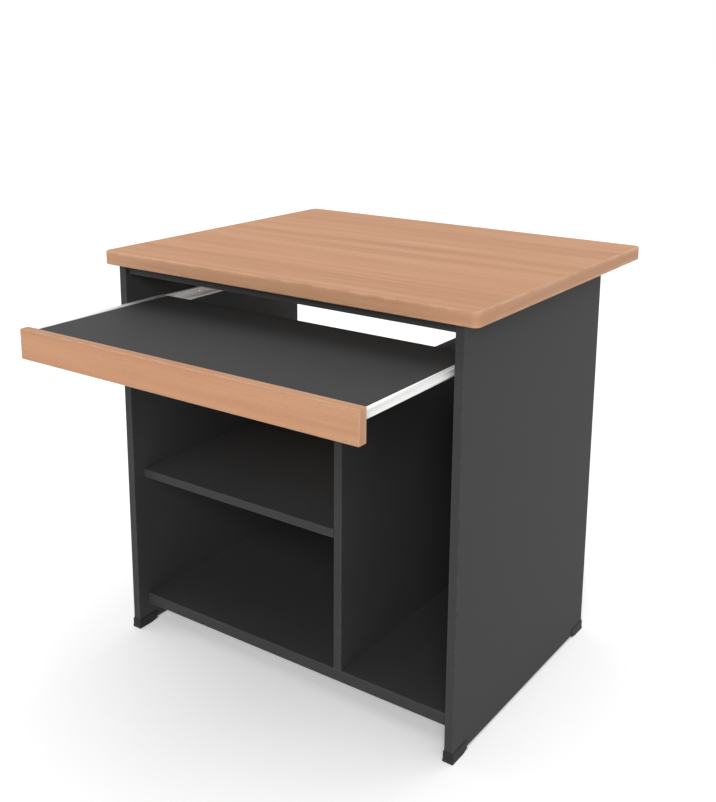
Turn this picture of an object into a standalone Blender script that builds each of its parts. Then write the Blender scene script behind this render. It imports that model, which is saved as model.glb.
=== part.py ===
"""Computer desk with a keyboard tray on roller slides, drawn with the tray pulled out.

Metres, +Z up. X runs across the desk and the front faces -Y. The origin is on the floor, in the middle
of the whole desk's box with the tray out. Left and right are as seen by someone sitting at the desk.
"""
import math

import bmesh
import bpy
from mathutils import Matrix, Vector

# Body boards
DESK_HEIGHT = 0.750
BODY_WIDTH = 0.718          # over the outer faces of the side panels
BODY_DEPTH = 0.503
BOARD = 0.016               # all boards except the top and the bottom shelf
BOTTOM_BOARD = 0.022        # bottom shelf, which carries the divider
FLOOR_GAP = 0.044           # under the bottom shelf
SHELF_SETBACK = 0.025       # shelf and divider fronts behind the side panels' front edges
LOWER_BAY_HEIGHT = 0.243    # clear height under the middle shelf
TOWER_BAY_WIDTH = 0.221     # clear width right of the divider
REAR_OPENING = 0.225        # open gap between the back panel and the top
SHELF_END_GAP = 0.001       # loose middle shelf to its neighbours
DIVIDER_GROOVE = 0.0010     # depth of the groove in the bottom shelf that places the divider

# Top
TOP_THICKNESS = 0.025
TOP_SIDE_OVERHANG = 0.027
TOP_FRONT_OVERHANG = 0.012
TOP_REAR_OVERHANG = 0.121
TOP_CORNER_RADIUS = 0.012
TOP_BAND = 0.003            # edge band's thickness
TOP_BAND_ROUND = 0.0024     # its rounded upper and lower edges

# Keyboard tray
TRAY_CLEARANCE = 0.065      # top's underside to the front strip's upper edge
TRAY_FRONT_HEIGHT = 0.052
TRAY_FRONT_SIDE_GAP = 0.003
TRAY_FRONT_BAND = 0.002
TRAY_LIP = 0.006            # front strip's upper edge above the tray's surface
TRAY_DEPTH = 0.314          # board behind the front strip
TRAY_CLOSED_SETBACK = 0.002
DIVIDER_CLEARANCE = 0.038   # divider's top below the front strip's lower edge

# Roller slides
SHEET = 0.0012
BEND_RADIUS = 0.0016        # at the middle of the sheet
ROLLER_DIAMETER = 0.018
ROLLER_WIDTH = 0.0056
ROLLER_RIM = 0.0016
ROLLER_DISH = 0.0010        # depth of the hollow in each side of a roller
AXLE_RADIUS = 0.0020
AXLE_HEAD_RADIUS = 0.0034
AXLE_HEAD = 0.0007
HUB_WALL = 0.0020
TRAY_RAIL_HEIGHT = 0.019
TRAY_RAIL_LEDGE = 0.014     # flange under the tray's edge
CABINET_RAIL_LIP = 0.0032   # upturned edge that keeps the rear roller in
RAIL_FRONT_GAP = 0.004      # cabinet rail behind the closed tray's front strip
RAIL_REAR_MARGIN = 0.020    # cabinet rail past the closed tray's rear edge
ROLLER_INSET = 0.013        # roller's centre from its rail's end
ROLLER_SPREAD = 0.043       # rear roller behind the front one, with the tray out
NOTCH_MARGIN = 0.002        # cabinet rail's upper flange cut back behind the front roller
RAIL_HOLE_RADIUS = 0.0022
RAIL_HOLES = 3
RAIL_HOLE_MARGIN = 0.042

# Foot caps
FOOT_SOLE = 0.005
FOOT_LENGTH = 0.046
FOOT_HEIGHT = 0.019
FOOT_WALL = 0.0016
FOOT_EASE = 0.0009
FOOT_RAMP = 0.018           # length of the slope at a sole's inner end
FOOT_RISE = 0.004           # how far that slope rises off the floor

# Cam fittings
CAM_RADIUS = 0.0073
CAM_FLOOR = 0.0010          # cam's thickness past the bolt's bore
CAM_EDGE = 0.024            # cam's centre from the board's edge
CAM_INSET = 0.055           # cams from the board's ends
BOLT_BORE_RADIUS = 0.0038
BOLT_THREAD = 0.0105        # length in the receiving board
BOLT_THREAD_RADIUS = 0.0029
BOLT_COLLAR_RADIUS = 0.0034
BOLT_COLLAR = 0.0012
BOLT_SHAFT_RADIUS = 0.0024
BOLT_HEAD_RADIUS = 0.0030
BOLT_HEAD = 0.0050
BOLT_NECK_RADIUS = 0.0015
BOLT_NECK = 0.0030
CAM_SLOT_WIDTH = 0.0014
CAM_SLOT_LENGTH = 0.0076
CAM_SLOT_DEPTH = 0.0022

# Divider screws
SCREW_HEAD_RADIUS = 0.0050
SCREW_HEAD = 0.0036
SCREW_SHANK_RADIUS = 0.0034
SCREW_THREAD_RADIUS = 0.0027
SCREW_REACH = 0.032         # thread past the shank
SCREW_TIP = 0.004
SCREW_SOCKET = 0.0040       # across the flats
SCREW_SOCKET_DEPTH = 0.0024
SCREW_INSET = 0.070         # from the divider's ends

# Shelf supports
SUPPORT_LEG = 0.0022
SUPPORT_REACH = 0.011
SUPPORT_DROP = 0.012
SUPPORT_WIDTH = 0.012
SUPPORT_STEM_RADIUS = 0.0024
SUPPORT_STEM = 0.0075       # length in the board
SUPPORT_INSET = 0.060       # from the shelf's front and rear

# Clearances and finish
SEAT_GAP = 0.0003           # between pieces that touch
RUN_GAP = 0.0003            # roller to its track, and along its axle
AXLE_END_GAP = 0.0004
SLIDE_RUN = 0.0010          # between the rails of a slide
EDGE_EASE = 0.0008          # softened arrises of the boards
OVERCUT = 0.0020            # cutters past the faces that they open
EASE_ANGLE = 60             # corners sharper than this, in degrees, are eased
SMOOTH_ANGLE = 35           # faces that meet at less than this are shaded smooth
MERGE_GAP = 1e-6
ROUND_SIDES = 24
CAM_SIDES = 18
BORE_SIDES = 12
BOLT_SIDES = 8
BEND_STEPS = 3
CORNER_STEPS = 6
BAND_STEPS = 3

# Sizes and places that follow
TOP_UNDER = DESK_HEIGHT - TOP_THICKNESS
HALF_INNER = BODY_WIDTH / 2 - BOARD
ROLLER_RADIUS = ROLLER_DIAMETER / 2
TRAY_FRONT_TOP = TOP_UNDER - TRAY_CLEARANCE
TRAY_FRONT_BOTTOM = TRAY_FRONT_TOP - TRAY_FRONT_HEIGHT
TRAY_TOP = TRAY_FRONT_TOP - TRAY_LIP
TRAY_UNDER = TRAY_TOP - BOARD

# The slide's layers, counted from the side panel's inner face towards the tray
WEB_FACE = SEAT_GAP + SHEET
ROLLER_NEAR = WEB_FACE + AXLE_END_GAP + AXLE_HEAD + RUN_GAP
ROLLER_FAR = ROLLER_NEAR + ROLLER_WIDTH
CHANNEL_REACH = ROLLER_FAR + RUN_GAP + SHEET
TRAY_WEB_NEAR = CHANNEL_REACH + SLIDE_RUN
TRAY_WEB_FAR = TRAY_WEB_NEAR + SHEET
SLIDE_SPACE = TRAY_WEB_FAR + SEAT_GAP

# The slide's heights
TRAY_RAIL_UNDER = TRAY_UNDER - SEAT_GAP - SHEET
TRAY_RAIL_TOP = TRAY_RAIL_UNDER + TRAY_RAIL_HEIGHT
FRONT_ROLLER_Z = TRAY_RAIL_TOP - SHEET - RUN_GAP - ROLLER_RADIUS
CHANNEL_TOP = TRAY_RAIL_TOP - SHEET - SLIDE_RUN
REAR_ROLLER_Z = CHANNEL_TOP - SHEET - RUN_GAP - ROLLER_RADIUS
CHANNEL_BOTTOM = REAR_ROLLER_Z - ROLLER_RADIUS - RUN_GAP - SHEET

# How far the tray stands out, and the depth positions that follow
RAIL_START = TRAY_CLOSED_SETBACK + BOARD + RAIL_FRONT_GAP
TRAY_OUT = BOARD + TRAY_DEPTH - ROLLER_INSET - (RAIL_START + ROLLER_INSET + ROLLER_SPREAD)
FRONT = (TRAY_OUT - BODY_DEPTH - TOP_REAR_OVERHANG) / 2
REAR = FRONT + BODY_DEPTH
SHELF_FRONT = FRONT + SHELF_SETBACK
BACK_FACE = REAR - BOARD
SHELF_REAR = BACK_FACE - SEAT_GAP
RAIL_FRONT = FRONT + RAIL_START
RAIL_REAR = FRONT + TRAY_CLOSED_SETBACK + BOARD + TRAY_DEPTH + RAIL_REAR_MARGIN
FRONT_ROLLER_Y = RAIL_FRONT + ROLLER_INSET
REAR_ROLLER_Y = BOARD + TRAY_DEPTH - ROLLER_INSET    # from the tray's front face

# Heights and widths of the body
BOTTOM_SHELF_TOP = FLOOR_GAP + BOTTOM_BOARD
MIDDLE_SHELF_UNDER = BOTTOM_SHELF_TOP + LOWER_BAY_HEIGHT
DIVIDER_TOP = TRAY_FRONT_BOTTOM - DIVIDER_CLEARANCE
BACK_TOP = TOP_UNDER - REAR_OPENING
DIVIDER_RIGHT = HALF_INNER - TOWER_BAY_WIDTH
DIVIDER_LEFT = DIVIDER_RIGHT - BOARD
BOLT_DEPTH = BOARD / 2      # a cam's bolt below the face that the cam opens on
CAM_HEIGHT = BOLT_DEPTH + BOLT_BORE_RADIUS + CAM_FLOOR

# Finish: linear colour, roughness, metallic
FINISHES = {
    "wood_laminate": ((0.58, 0.335, 0.195), 0.45, 0.0),
    "wood_edge": ((0.60, 0.36, 0.22), 0.50, 0.0),
    "charcoal_melamine": ((0.058, 0.058, 0.060), 0.60, 0.0),
    "coated_steel": ((0.82, 0.82, 0.82), 0.40, 0.0),
    "nylon": ((0.72, 0.72, 0.70), 0.50, 0.0),
    "bright_steel": ((0.58, 0.58, 0.57), 0.32, 1.0),
    "cast_zinc": ((0.46, 0.46, 0.47), 0.45, 1.0),
    "foot_plastic": ((0.022, 0.022, 0.023), 0.55, 0.0),
}


def finish_material(name):
    if name in bpy.data.materials:
        return bpy.data.materials[name]
    colour, roughness, metallic = FINISHES[name]
    material = bpy.data.materials.new(name)
    material.use_nodes = True
    shader = material.node_tree.nodes["Principled BSDF"]
    shader.inputs["Base Color"].default_value = (*colour, 1.0)
    shader.inputs["Roughness"].default_value = roughness
    shader.inputs["Metallic"].default_value = metallic
    return material


def mesh_from(name, shape):
    """Turns a bmesh into a mesh with its faces pointing out, and frees it."""
    bmesh.ops.recalc_face_normals(shape, faces=shape.faces)
    mesh = bpy.data.meshes.new(name)
    shape.to_mesh(mesh)
    shape.free()
    return mesh


def add_piece(name, mesh, finish, place=Matrix(), parent=None):
    mesh.materials.clear()
    mesh.materials.append(finish_material(finish))
    piece = bpy.data.objects.new(name, mesh)
    bpy.context.collection.objects.link(piece)
    piece.parent = parent
    piece.matrix_local = place
    return piece


def add_cutter(name, mesh, place=Matrix(), parent=None):
    cutter = bpy.data.objects.new(name, mesh)
    bpy.context.collection.objects.link(cutter)
    cutter.parent = parent
    cutter.matrix_local = place
    cutter.hide_render = True
    cutter.display_type = "WIRE"
    return cutter


def combine(piece, other, operation="DIFFERENCE"):
    boolean = piece.modifiers.new(other.name, "BOOLEAN")
    boolean.operation = operation
    boolean.solver = "EXACT"
    boolean.object = other


def ease_edges(piece, width, segments=1):
    bevel = piece.modifiers.new("eased_edges", "BEVEL")
    bevel.width = width
    bevel.segments = segments
    bevel.limit_method = "ANGLE"
    bevel.angle_limit = math.radians(EASE_ANGLE)


def box_shape(low, high):
    shape = bmesh.new()
    low, high = Vector(low), Vector(high)
    size = Matrix.Diagonal((*(high - low), 1.0))
    bmesh.ops.create_cube(shape, size=1.0, matrix=Matrix.Translation((low + high) / 2) @ size)
    return shape


def add_board(name, low, high, finish, parent=None):
    """A flat board with softened arrises, its origin at its centre."""
    half = (Vector(high) - Vector(low)) / 2
    middle = (Vector(high) + Vector(low)) / 2
    mesh = mesh_from(name, box_shape(-half, half))
    board = add_piece(name, mesh, finish, Matrix.Translation(middle), parent)
    ease_edges(board, EDGE_EASE)
    return board


def rounded_slab(width, depth, thickness, radius):
    """A slab centred on X and Y, standing on Z = 0, with rounded corners in plan."""
    shape = bmesh.new()
    corners = [(1, 1, 0), (-1, 1, 90), (-1, -1, 180), (1, -1, 270)]
    outline = []
    for sign_x, sign_y, start in corners:
        for step in range(CORNER_STEPS + 1):
            turn = math.radians(start + 90 * step / CORNER_STEPS)
            x = sign_x * (width / 2 - radius) + radius * math.cos(turn)
            y = sign_y * (depth / 2 - radius) + radius * math.sin(turn)
            outline.append(shape.verts.new((x, y, 0)))
    face = shape.faces.new(outline)
    raised = bmesh.ops.extrude_face_region(shape, geom=[face])["geom"]
    moved = [item for item in raised if isinstance(item, bmesh.types.BMVert)]
    bmesh.ops.translate(shape, verts=moved, vec=(0, 0, thickness))
    return shape


def extruded(outline, length):
    """A flat outline in X and Z, drawn out along Y from 0 to the length."""
    shape = bmesh.new()
    face = shape.faces.new([shape.verts.new((x, 0, z)) for x, z in outline])
    drawn = bmesh.ops.extrude_face_region(shape, geom=[face])["geom"]
    moved = [item for item in drawn if isinstance(item, bmesh.types.BMVert)]
    bmesh.ops.translate(shape, verts=moved, vec=(0, length, 0))
    return shape


def turned(profile, sides, closed=False):
    """Spins a profile of (distance along, radius) points about the X axis."""
    shape = bmesh.new()
    points = [shape.verts.new((along, 0, radius)) for along, radius in profile]
    pairs = list(zip(points, points[1:]))
    if closed:
        pairs.append((points[-1], points[0]))
    edges = [shape.edges.new(pair) for pair in pairs]
    bmesh.ops.spin(shape, geom=points + edges, cent=(0, 0, 0), axis=(1, 0, 0), dvec=(0, 0, 0),
                   angle=2 * math.pi, steps=sides, use_merge=True, use_duplicate=False)
    bmesh.ops.remove_doubles(shape, verts=shape.verts, dist=MERGE_GAP)
    return shape


def bore_profile(radius, depth):
    return [(-OVERCUT, 0), (-OVERCUT, radius), (depth, radius), (depth, 0)]


def aim(point, direction):
    """The placing that puts a piece's X axis along a direction."""
    return Matrix.Translation(point) @ Vector(direction).to_track_quat("X", "Z").to_matrix().to_4x4()


def add_drill(name, bores, parent=None):
    """One cutter for several bores, each a placing and a turned profile."""
    drill = bmesh.new()
    for place, profile in bores:
        bore = turned(profile, BORE_SIDES)
        bore.transform(place)
        mesh = mesh_from(name, bore)
        drill.from_mesh(mesh)
        bpy.data.meshes.remove(mesh)
    return add_cutter(name, mesh_from(name, drill), parent=parent)


def finished_mesh(name, shape, cutters, operation="DIFFERENCE"):
    """A mesh cut by, or joined with, other shapes, for pieces that share it."""
    blank = add_cutter(name + "_blank", mesh_from(name + "_blank", shape))
    tools = []
    for number, tool_shape in enumerate(cutters):
        tools.append(add_cutter(f"{name}_tool_{number}", mesh_from(f"{name}_tool_{number}", tool_shape)))
        combine(blank, tools[-1], operation)
    graph = bpy.context.evaluated_depsgraph_get()
    graph.update()
    mesh = bpy.data.meshes.new_from_object(blank.evaluated_get(graph))
    mesh.name = name
    for item in [blank] + tools:
        bpy.data.objects.remove(item, do_unlink=True)
    return mesh


def round_off(mesh):
    mesh.shade_smooth()
    mesh.set_sharp_from_angle(angle=math.radians(SMOOTH_ANGLE))


def bent_outline(corners):
    """The outline of a sheet bent along a path, with an arc at each inner corner of the path."""
    corners = [Vector(corner) for corner in corners]
    path = []
    for index, corner in enumerate(corners):
        before = (corner - corners[index - 1]).normalized() if index else None
        after = (corners[index + 1] - corner).normalized() if index + 1 < len(corners) else None
        if before is None or after is None:
            along = after or before
            path.append((corner, Vector((-along.y, along.x))))
            continue
        side = 1 if before.cross(after) > 0 else -1
        turn = before.angle(after)
        start = corner - before * BEND_RADIUS * math.tan(turn / 2)
        normal = Vector((-before.y, before.x))
        centre = start + normal * side * BEND_RADIUS
        for step in range(BEND_STEPS + 1):
            swing = Matrix.Rotation(side * turn * step / BEND_STEPS, 2)
            outward = swing @ normal
            path.append((centre - outward * side * BEND_RADIUS, outward))
    half = SHEET / 2
    left = [point + normal * half for point, normal in path]
    right = [point - normal * half for point, normal in path]
    return left + right[::-1]


def add_carcass():
    """Side panels, shelves, divider and back, as plain boards."""
    charcoal = "charcoal_melamine"
    panel_low = FOOT_SOLE + SEAT_GAP
    panel_high = TOP_UNDER - SEAT_GAP
    outer = BODY_WIDTH / 2
    between = HALF_INNER - SEAT_GAP
    boards = {
        "side_panel_left": ((-outer, FRONT, panel_low), (-HALF_INNER, REAR, panel_high)),
        "side_panel_right": ((HALF_INNER, FRONT, panel_low), (outer, REAR, panel_high)),
        "bottom_shelf": ((-between, SHELF_FRONT, FLOOR_GAP), (between, SHELF_REAR, BOTTOM_SHELF_TOP)),
        "back_panel": ((-between, BACK_FACE, FLOOR_GAP), (between, REAR, BACK_TOP)),
        "divider": ((DIVIDER_LEFT, SHELF_FRONT, BOTTOM_SHELF_TOP - DIVIDER_GROOVE + SEAT_GAP),
                    (DIVIDER_RIGHT, SHELF_REAR, DIVIDER_TOP)),
        "middle_shelf": ((-HALF_INNER + SHELF_END_GAP, SHELF_FRONT, MIDDLE_SHELF_UNDER),
                         (DIVIDER_LEFT - SHELF_END_GAP, SHELF_REAR, MIDDLE_SHELF_UNDER + BOARD)),
    }
    pieces = {name: add_board(name, low, high, charcoal) for name, (low, high) in boards.items()}
    groove = box_shape((DIVIDER_LEFT - SEAT_GAP, SHELF_FRONT - OVERCUT, BOTTOM_SHELF_TOP - DIVIDER_GROOVE),
                       (DIVIDER_RIGHT + SEAT_GAP, SHELF_REAR + OVERCUT, BOTTOM_SHELF_TOP + OVERCUT))
    combine(pieces["bottom_shelf"], add_cutter("divider_groove", mesh_from("divider_groove", groove)))
    return pieces


def add_top():
    """The top board and the edge band round it."""
    width = BODY_WIDTH + 2 * TOP_SIDE_OVERHANG
    depth = TOP_FRONT_OVERHANG + BODY_DEPTH + TOP_REAR_OVERHANG
    middle = (0, FRONT - TOP_FRONT_OVERHANG + depth / 2, TOP_UNDER)
    place = Matrix.Translation(middle)
    band_mesh = mesh_from("top_edge_band", rounded_slab(width, depth, TOP_THICKNESS, TOP_CORNER_RADIUS))
    band = add_piece("top_edge_band", band_mesh, "wood_edge", place)
    ease_edges(band, TOP_BAND_ROUND, BAND_STEPS)

    def inner_slab(inset, thickness):
        return rounded_slab(width - 2 * inset, depth - 2 * inset, thickness, TOP_CORNER_RADIUS - inset)

    core = inner_slab(TOP_BAND, TOP_THICKNESS + 2 * OVERCUT)
    lowered = place @ Matrix.Translation((0, 0, -OVERCUT))
    combine(band, add_cutter("top_band_core", mesh_from("top_band_core", core), lowered))
    board_mesh = mesh_from("desk_top", inner_slab(TOP_BAND + SEAT_GAP, TOP_THICKNESS))
    return add_piece("desk_top", board_mesh, "wood_laminate", place)


def add_foot_caps():
    """Plastic caps round the bottom corners of the side panels, with a slope under each inner end."""
    spread = FOOT_WALL + SEAT_GAP
    slope = math.atan2(FOOT_RISE, FOOT_RAMP)
    for side, sign in (("left", -1), ("right", 1)):
        inner, outer = sorted((sign * HALF_INNER, sign * BODY_WIDTH / 2))
        for end, edge, inward in (("front", FRONT, 1), ("rear", REAR, -1)):
            name = f"foot_cap_{end}_{side}"
            low_y, high_y = sorted((-inward * spread, inward * FOOT_LENGTH))
            cap = box_shape((inner - spread, low_y, 0), (outer + spread, high_y, FOOT_HEIGHT))
            piece = add_piece(name, mesh_from(name, cap), "foot_plastic", Matrix.Translation((0, edge, 0)))
            ease_edges(piece, FOOT_EASE)
            low_y, high_y = sorted((-inward * SEAT_GAP, inward * (FOOT_LENGTH + OVERCUT)))
            pocket = box_shape((inner - SEAT_GAP, low_y, FOOT_SOLE),
                               (outer + SEAT_GAP, high_y, FOOT_HEIGHT + OVERCUT))
            pocket_mesh = mesh_from(name + "_pocket", pocket)
            combine(piece, add_cutter(name + "_pocket", pocket_mesh, Matrix.Translation((0, edge, 0))))
            low_y, high_y = sorted((0, inward * 2 * FOOT_RAMP))
            ramp = box_shape((inner - FOOT_RAMP, low_y, -FOOT_RAMP), (outer + FOOT_RAMP, high_y, 0))
            start = Matrix.Translation((0, edge + inward * (FOOT_LENGTH - FOOT_RAMP), 0))
            tilt = Matrix.Rotation(inward * slope, 4, "X")
            combine(piece, add_cutter(name + "_ramp", mesh_from(name + "_ramp", ramp), start @ tilt))


def add_tray():
    """The sliding tray: its carriage, board and banded front strip."""
    carriage = bpy.data.objects.new("tray_carriage", None)
    bpy.context.collection.objects.link(carriage)
    carriage.location = (0, FRONT - TRAY_OUT, 0)
    half_tray = HALF_INNER - SLIDE_SPACE
    half_front = HALF_INNER - TRAY_FRONT_SIDE_GAP
    add_board("tray_board", (-half_tray, BOARD + SEAT_GAP, TRAY_UNDER),
              (half_tray, BOARD + TRAY_DEPTH, TRAY_TOP), "charcoal_melamine", carriage)
    low = Vector((-half_front, 0, TRAY_FRONT_BOTTOM))
    high = Vector((half_front, BOARD, TRAY_FRONT_TOP))
    band = add_board("tray_front_edge_band", low, high, "wood_edge", carriage)
    core_low = low + Vector((TRAY_FRONT_BAND, -OVERCUT, TRAY_FRONT_BAND))
    core_high = high + Vector((-TRAY_FRONT_BAND, OVERCUT, -TRAY_FRONT_BAND))
    core = mesh_from("tray_front_core", box_shape(core_low, core_high))
    combine(band, add_cutter("tray_front_core", core, parent=carriage))
    inset = TRAY_FRONT_BAND + SEAT_GAP
    strip = box_shape(low + Vector((inset, 0, inset)), high - Vector((inset, 0, inset)))
    add_piece("tray_front", mesh_from("tray_front", strip), "wood_laminate", parent=carriage)
    return carriage


def roller_mesh():
    hub = AXLE_RADIUS + RUN_GAP + HUB_WALL
    rim = ROLLER_RADIUS - ROLLER_RIM
    bore = AXLE_RADIUS + RUN_GAP
    half = ROLLER_WIDTH / 2
    dish = half - ROLLER_DISH
    tread = half - ROLLER_DISH / 2
    one_side = [(half, bore), (half, hub), (dish, hub), (dish, rim), (half, rim), (tread, ROLLER_RADIUS)]
    other_side = [(-along, radius) for along, radius in reversed(one_side)]
    mesh = mesh_from("roller", turned(one_side + other_side, ROUND_SIDES, closed=True))
    round_off(mesh)
    return mesh


def axle_mesh(name, stops):
    """A rivet axle as (distance along, radius) steps, closed at both ends."""
    profile = [(stops[0][0], 0)] + stops + [(stops[-1][0], 0)]
    mesh = mesh_from(name, turned(profile, BORE_SIDES))
    round_off(mesh)
    return mesh


def add_slides(carriage):
    """Both roller slides. Distances are counted from each side panel's inner face inwards."""
    half = SHEET / 2
    cabinet_path = [(CHANNEL_REACH - SHEET, CHANNEL_TOP - half), (SEAT_GAP + half, CHANNEL_TOP - half),
                    (SEAT_GAP + half, CHANNEL_BOTTOM + half), (CHANNEL_REACH - half, CHANNEL_BOTTOM + half),
                    (CHANNEL_REACH - half, CHANNEL_BOTTOM + SHEET + CABINET_RAIL_LIP)]
    tray_web = TRAY_WEB_NEAR + half
    tray_path = [(ROLLER_NEAR, TRAY_RAIL_TOP - half), (tray_web, TRAY_RAIL_TOP - half),
                 (tray_web, TRAY_RAIL_UNDER + half), (tray_web + TRAY_RAIL_LEDGE, TRAY_RAIL_UNDER + half)]
    cabinet_length = RAIL_REAR - RAIL_FRONT
    tray_length = TRAY_DEPTH - SEAT_GAP
    tray_start = BOARD + SEAT_GAP
    roller = roller_mesh()
    roller_middle = (ROLLER_NEAR + ROLLER_FAR) / 2
    front_stops = [(SEAT_GAP, AXLE_RADIUS), (WEB_FACE + RUN_GAP, AXLE_RADIUS),
                   (WEB_FACE + RUN_GAP, AXLE_HEAD_RADIUS), (ROLLER_NEAR - RUN_GAP, AXLE_HEAD_RADIUS),
                   (ROLLER_NEAR - RUN_GAP, AXLE_RADIUS), (ROLLER_FAR + RUN_GAP, AXLE_RADIUS),
                   (ROLLER_FAR + RUN_GAP, AXLE_HEAD_RADIUS),
                   (ROLLER_FAR + RUN_GAP + AXLE_HEAD, AXLE_HEAD_RADIUS)]
    rear_stops = [(WEB_FACE + AXLE_END_GAP, AXLE_HEAD_RADIUS), (ROLLER_NEAR - RUN_GAP, AXLE_HEAD_RADIUS),
                  (ROLLER_NEAR - RUN_GAP, AXLE_RADIUS), (ROLLER_FAR + RUN_GAP, AXLE_RADIUS),
                  (ROLLER_FAR + RUN_GAP, AXLE_HEAD_RADIUS), (TRAY_WEB_NEAR - RUN_GAP, AXLE_HEAD_RADIUS),
                  (TRAY_WEB_NEAR - RUN_GAP, AXLE_RADIUS), (TRAY_WEB_FAR, AXLE_RADIUS)]
    front_axle = axle_mesh("front_axle", front_stops)
    rear_axle = axle_mesh("rear_axle", rear_stops)
    axle_hole = bore_profile(AXLE_RADIUS + SEAT_GAP, SHEET + OVERCUT)
    screw_hole = bore_profile(RAIL_HOLE_RADIUS, SHEET + OVERCUT)
    for side, sign in (("left", -1), ("right", 1)):
        inward = (-sign, 0, 0)

        def across(distance):
            return sign * (HALF_INNER - distance)

        def mirrored(outline):
            return [(across(x), z) for x, z in outline]

        rail_mesh = mesh_from(f"cabinet_rail_{side}",
                              extruded(mirrored(bent_outline(cabinet_path)), cabinet_length))
        rail = add_piece(f"cabinet_rail_{side}", rail_mesh, "coated_steel",
                         Matrix.Translation((0, RAIL_FRONT, 0)))
        notch_x = sorted((across(SEAT_GAP - OVERCUT), across(CHANNEL_REACH + OVERCUT)))
        notch_end = FRONT_ROLLER_Y + ROLLER_RADIUS + NOTCH_MARGIN
        notch = box_shape((notch_x[0], RAIL_FRONT - OVERCUT, CHANNEL_TOP - SHEET - BEND_RADIUS),
                          (notch_x[1], notch_end, CHANNEL_TOP + OVERCUT))
        combine(rail, add_cutter(f"rail_notch_{side}", mesh_from(f"rail_notch_{side}", notch)))
        holes = [(aim((across(SEAT_GAP), FRONT_ROLLER_Y, FRONT_ROLLER_Z), inward), axle_hole)]
        first, last = RAIL_FRONT + RAIL_HOLE_MARGIN, RAIL_REAR - RAIL_HOLE_MARGIN
        for number in range(RAIL_HOLES):
            y = first + (last - first) * number / (RAIL_HOLES - 1)
            holes.append((aim((across(SEAT_GAP), y, REAR_ROLLER_Z), inward), screw_hole))
        combine(rail, add_drill(f"rail_holes_{side}", holes))

        slide_mesh = mesh_from(f"tray_rail_{side}", extruded(mirrored(bent_outline(tray_path)), tray_length))
        slide = add_piece(f"tray_rail_{side}", slide_mesh, "coated_steel",
                          Matrix.Translation((0, tray_start, 0)), carriage)
        holes = [(aim((across(TRAY_WEB_NEAR), REAR_ROLLER_Y, REAR_ROLLER_Z), inward), axle_hole)]
        first = tray_start + RAIL_HOLE_MARGIN
        last = tray_start + tray_length - RAIL_HOLE_MARGIN
        for number in range(RAIL_HOLES):
            y = first + (last - first) * number / (RAIL_HOLES - 1)
            ledge_middle = across(TRAY_WEB_FAR + TRAY_RAIL_LEDGE / 2)
            holes.append((aim((ledge_middle, y, TRAY_RAIL_UNDER), (0, 0, 1)), screw_hole))
        combine(slide, add_drill(f"tray_rail_holes_{side}", holes, carriage))

        front_place = Vector((0, FRONT_ROLLER_Y, FRONT_ROLLER_Z))
        rear_place = Vector((0, REAR_ROLLER_Y, REAR_ROLLER_Z))
        to_panel = Vector((across(0), 0, 0))
        to_roller = Vector((across(roller_middle), 0, 0))
        for end, point, axle, parent in (("front", front_place, front_axle, None),
                                         ("rear", rear_place, rear_axle, carriage)):
            add_piece(f"{end}_roller_{side}", roller, "nylon", Matrix.Translation(point + to_roller), parent)
            add_piece(f"{end}_axle_{side}", axle, "bright_steel", aim(point + to_panel, inward), parent)


def cam_mesh():
    """A cam: X out of its face, Z towards its bolt, with the bolt's pocket and a cross slot."""
    rim = [(-CAM_HEIGHT, 0), (-CAM_HEIGHT, CAM_RADIUS), (0, CAM_RADIUS), (0, 0)]
    pocket = turned(bore_profile(BOLT_BORE_RADIUS, CAM_RADIUS + BOLT_HEAD), BORE_SIDES)
    pocket.transform(aim((-BOLT_DEPTH, 0, CAM_RADIUS), (0, 0, -1)))
    arm, width = CAM_SLOT_LENGTH / 2, CAM_SLOT_WIDTH / 2
    cross = [(arm, width), (width, width), (width, arm), (-width, arm), (-width, width), (-arm, width),
             (-arm, -width), (-width, -width), (-width, -arm), (width, -arm), (width, -width), (arm, -width)]
    slot = extruded(cross, CAM_SLOT_DEPTH + OVERCUT)
    slot.transform(Matrix.Translation((OVERCUT, 0, 0)) @ Matrix.Rotation(math.pi / 2, 4, "Z"))
    mesh = finished_mesh("cam", turned(rim, CAM_SIDES), [pocket, slot])
    round_off(mesh)
    return mesh


def bolt_mesh():
    """A cam bolt along X, with X = 0 on the face of the board that its thread goes into."""
    head_end = CAM_EDGE + BOLT_HEAD / 2
    head_start = head_end - BOLT_HEAD
    neck_start = head_start - BOLT_NECK
    seat = SEAT_GAP
    profile = [(-BOLT_THREAD, 0), (-BOLT_THREAD + BOLT_THREAD_RADIUS, BOLT_THREAD_RADIUS),
               (seat, BOLT_THREAD_RADIUS), (seat, BOLT_COLLAR_RADIUS),
               (seat + BOLT_COLLAR, BOLT_COLLAR_RADIUS), (seat + BOLT_COLLAR, BOLT_SHAFT_RADIUS),
               (neck_start, BOLT_SHAFT_RADIUS), (neck_start, BOLT_NECK_RADIUS),
               (head_start, BOLT_NECK_RADIUS), (head_start, BOLT_HEAD_RADIUS),
               (head_end, BOLT_HEAD_RADIUS), (head_end, 0)]
    mesh = mesh_from("cam_bolt", turned(profile, BOLT_SIDES))
    round_off(mesh)
    return mesh


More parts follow.
